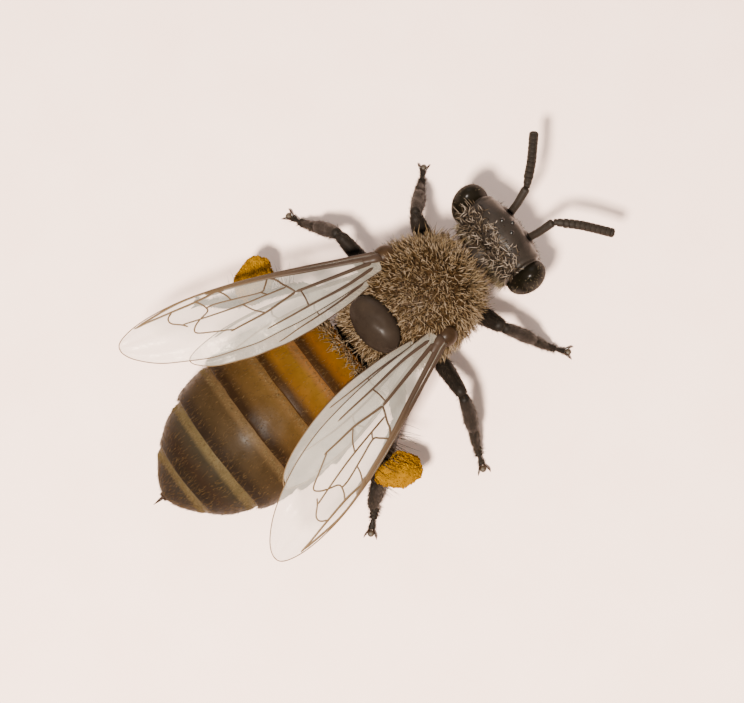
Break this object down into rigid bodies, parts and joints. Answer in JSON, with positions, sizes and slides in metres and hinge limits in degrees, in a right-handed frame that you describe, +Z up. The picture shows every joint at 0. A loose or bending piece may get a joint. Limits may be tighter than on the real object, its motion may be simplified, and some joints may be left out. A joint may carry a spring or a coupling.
{
  "type": "honey bee",
  "caption": "Life-size worker honey bee standing still, with half-open wings, bent antennae, furry thorax, banded amber abdomen and pollen loads on its hind legs.",
  "frame": {"origin": "middle of the bounding box's underside, on the floor that the feet stand on", "axes": "+Y towards the tail, so the head faces -Y; +Z up; +X towards the bee's left side"},
  "size_m": [0.01, 0.0158, 0.0049],
  "materials": {
    "head_cuticle": "dark brown shell, satin, with short pale hairs",
    "antenna_cuticle": "dark brown shell, dull from a fine down",
    "mouthparts": "reddish brown shell, glossy",
    "eye": "near black with fine facets and short hairs",
    "thorax_fur": "tan branched hairs over a dark brown shell",
    "shiny_cuticle": "dark brown shell, glossy and nearly bare",
    "abdomen_amber": "amber shell with soft dark hind margins and pale hair bands, satin",
    "abdomen_dark": "dark brown shell with faint pale hair bands, satin",
    "wing_membrane": "clear greyish membrane with brown veins",
    "leg_cuticle": "dark brown shell, satin, with short hairs",
    "pollen": "packed orange-yellow grains"
  },
  "bodies": {
    "root": {"head": "head_cuticle", "neck": "head_cuticle", "petiole": "head_cuticle", "antenna_scape_left": "antenna_cuticle", "antenna_scape_right": "antenna_cuticle", "antenna_flagellum_left": "antenna_cuticle", "antenna_flagellum_right": "antenna_cuticle", "mandible_left": "mouthparts", "mandible_right": "mouthparts", "proboscis": "mouthparts", "eye_left": "eye", "eye_right": "eye", "thorax": "thorax_fur", "propodeum": "thorax_fur", "scutellum": "shiny_cuticle", "tegula_left": "shiny_cuticle", "tegula_right": "shiny_cuticle", "sting": "shiny_cuticle", "abdomen_1": "abdomen_amber", "abdomen_2": "abdomen_amber", "abdomen_3": "abdomen_amber", "abdomen_4": "abdomen_amber", "abdomen_5": "abdomen_dark", "abdomen_6": "abdomen_dark", "forewing_left": "wing_membrane", "forewing_right": "wing_membrane", "hindwing_left": "wing_membrane", "hindwing_right": "wing_membrane", "coxa_front_left": "leg_cuticle", "coxa_front_right": "leg_cuticle", "femur_front_left": "leg_cuticle", "femur_front_right": "leg_cuticle", "tibia_front_left": "leg_cuticle", "tibia_front_right": "leg_cuticle", "tarsus_front_left": "leg_cuticle", "tarsus_front_right": "leg_cuticle", "coxa_middle_left": "leg_cuticle", "coxa_middle_right": "leg_cuticle", "femur_middle_left": "leg_cuticle", "femur_middle_right": "leg_cuticle", "tibia_middle_left": "leg_cuticle", "tibia_middle_right": "leg_cuticle", "tarsus_middle_left": "leg_cuticle", "tarsus_middle_right": "leg_cuticle", "coxa_hind_left": "leg_cuticle", "coxa_hind_right": "leg_cuticle", "femur_hind_left": "leg_cuticle", "femur_hind_right": "leg_cuticle", "tibia_hind_left": "leg_cuticle", "tibia_hind_right": "leg_cuticle", "tarsus_hind_left": "leg_cuticle", "tarsus_hind_right": "leg_cuticle", "pollen_left": "pollen", "pollen_right": "pollen"}
  },
  "joints": []
}
